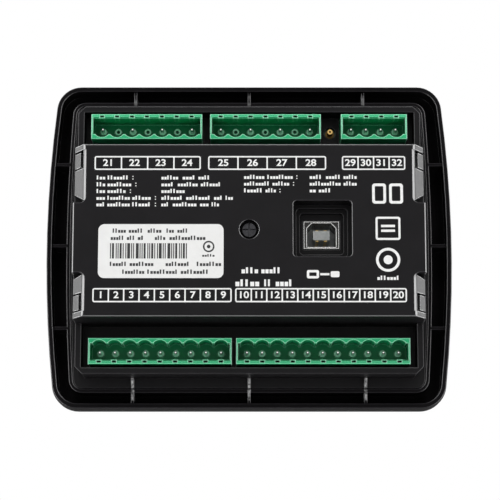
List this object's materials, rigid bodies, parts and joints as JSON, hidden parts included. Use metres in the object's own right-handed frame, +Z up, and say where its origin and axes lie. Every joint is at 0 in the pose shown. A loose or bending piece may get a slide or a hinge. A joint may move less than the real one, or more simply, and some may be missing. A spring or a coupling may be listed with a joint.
{
  "type": "genset controller",
  "caption": "Panel-mounted generating-set controller: black bezel with bowed sides, a rear case with green terminal headers and a data port, and a display with press keys in front.",
  "frame": {"origin": "middle of the bezel, in the plane where its lip meets the face of the mounting panel", "axes": "seen from the front, +X to the right and +Z up; +Y to the rear, through the panel"},
  "size_m": [0.14, 0.0432, 0.113],
  "materials": {
    "case_black": "moulded, fine matt grain",
    "bezel_black": "moulded, satin",
    "window_clear": "clear polycarbonate",
    "pipe_clear": "clear acrylic",
    "key_grey": "soft satin",
    "key_red": "soft satin",
    "key_green": "soft satin",
    "sheet_steel": "bright pressed sheet",
    "lcd_grey": "reflective display cell",
    "backlight_white": "diffuser sheet",
    "board_green": "solder resist",
    "led_cream": "clear lens",
    "link_black": "moulded",
    "spacer_cream": "nylon",
    "screw_zinc": "zinc plated",
    "screw_dark": "black zinc",
    "chip_black": "epoxy",
    "transformer_blue": "potted",
    "can_sleeve": "shrink sleeve",
    "ferrite_grey": "ferrite",
    "battery_steel": "nickel plated",
    "label_white": "satin film",
    "brass": "turned",
    "header_green": "moulded polyamide",
    "pin_tin": "tinned",
    "port_steel": "nickel plated",
    "tongue_pale": "moulded",
    "contact_gold": "gold plated"
  },
  "bodies": {
    "housing": {"front_bezel": "bezel_black", "display_window": "window_clear", "light_pipes": "pipe_clear", "lcd_frame": "sheet_steel", "lcd_glass": "lcd_grey", "lcd_backlight": "backlight_white", "display_board": "board_green", "key_domes": "sheet_steel", "status_leds": "led_cream", "board_link_header": "link_black", "board_link_socket": "link_black", "spacers": "spacer_cream", "board_screws": "screw_zinc", "main_board": "board_green", "processor": "chip_black", "current_transformers": "transformer_blue", "capacitors": "can_sleeve", "inductor": "ferrite_grey", "output_transistors": "chip_black", "clock_battery": "battery_steel", "rear_case": "case_black", "case_screw": "screw_dark", "data_label": "label_white", "brass_pin": "brass", "header_1_9": "header_green", "header_10_20": "header_green", "header_21_24": "header_green", "header_25_28": "header_green", "header_29_32": "header_green", "pins_1_9": "pin_tin", "pins_10_20": "pin_tin", "pins_21_24": "pin_tin", "pins_25_28": "pin_tin", "pins_29_32": "pin_tin", "usb_shell": "port_steel", "usb_tongue": "tongue_pale", "usb_contacts": "contact_gold"},
    "stop_key": {"key_stop": "key_red"},
    "manual_key": {"key_manual": "key_grey"},
    "auto_key": {"key_auto": "key_grey"},
    "start_key": {"key_start": "key_green"},
    "up_key": {"key_up": "key_grey"},
    "down_key": {"key_down": "key_grey"},
    "left_key": {"key_left": "key_grey"},
    "right_key": {"key_right": "key_grey"},
    "tick_key": {"key_tick": "key_grey"},
    "mains_key": {"key_mains": "key_grey"},
    "generator_key": {"key_generator": "key_grey"}
  },
  "joints": [
    {"name": "stop_press", "type": "slide", "parent": "housing", "child": "stop_key", "axis": [0, 1, 0], "range_m": [0, 0.0008], "stiffness_N_per_m": 600, "springref_m": -0.001},
    {"name": "manual_press", "type": "slide", "parent": "housing", "child": "manual_key", "axis": [0, 1, 0], "range_m": [0, 0.0008], "stiffness_N_per_m": 600, "springref_m": -0.001},
    {"name": "auto_press", "type": "slide", "parent": "housing", "child": "auto_key", "axis": [0, 1, 0], "range_m": [0, 0.0008], "stiffness_N_per_m": 600, "springref_m": -0.001},
    {"name": "start_press", "type": "slide", "parent": "housing", "child": "start_key", "axis": [0, 1, 0], "range_m": [0, 0.0008], "stiffness_N_per_m": 600, "springref_m": -0.001},
    {"name": "up_press", "type": "slide", "parent": "housing", "child": "up_key", "axis": [0, 1, 0], "range_m": [0, 0.0008], "stiffness_N_per_m": 600, "springref_m": -0.001},
    {"name": "down_press", "type": "slide", "parent": "housing", "child": "down_key", "axis": [0, 1, 0], "range_m": [0, 0.0008], "stiffness_N_per_m": 600, "springref_m": -0.001},
    {"name": "left_press", "type": "slide", "parent": "housing", "child": "left_key", "axis": [0, 1, 0], "range_m": [0, 0.0008], "stiffness_N_per_m": 600, "springref_m": -0.001},
    {"name": "right_press", "type": "slide", "parent": "housing", "child": "right_key", "axis": [0, 1, 0], "range_m": [0, 0.0008], "stiffness_N_per_m": 600, "springref_m": -0.001},
    {"name": "tick_press", "type": "slide", "parent": "housing", "child": "tick_key", "axis": [0, 1, 0], "range_m": [0, 0.0008], "stiffness_N_per_m": 600, "springref_m": -0.001},
    {"name": "mains_press", "type": "slide", "parent": "housing", "child": "mains_key", "axis": [0, 1, 0], "range_m": [0, 0.0008], "stiffness_N_per_m": 600, "springref_m": -0.001},
    {"name": "generator_press", "type": "slide", "parent": "housing", "child": "generator_key", "axis": [0, 1, 0], "range_m": [0, 0.0008], "stiffness_N_per_m": 600, "springref_m": -0.001}
  ]
}
